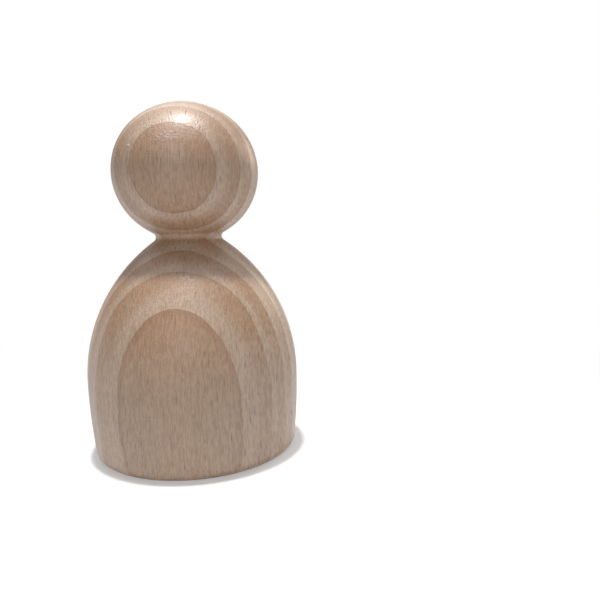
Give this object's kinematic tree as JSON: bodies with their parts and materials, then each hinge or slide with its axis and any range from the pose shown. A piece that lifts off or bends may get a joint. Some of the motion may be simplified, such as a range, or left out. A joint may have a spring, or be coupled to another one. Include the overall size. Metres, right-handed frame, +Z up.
{
  "type": "peg doll",
  "caption": "Bare wooden peg doll turned in one piece: a slightly flattened round head on a small neck hollow and a smooth tapered body with a flat base to stand on.",
  "frame": {"origin": "middle of the flat base, on the surface that the doll stands on", "axes": "+Z up along the turning axis, from the base to the top of the head; the doll is round, so X and Y are free"},
  "size_m": [0.0546, 0.0546, 0.09],
  "materials": {
    "beech": "satin, smooth sanded, growth rings and ray flecks along the grain"
  },
  "bodies": {
    "root": {"turned_doll": "beech"}
  },
  "joints": []
}
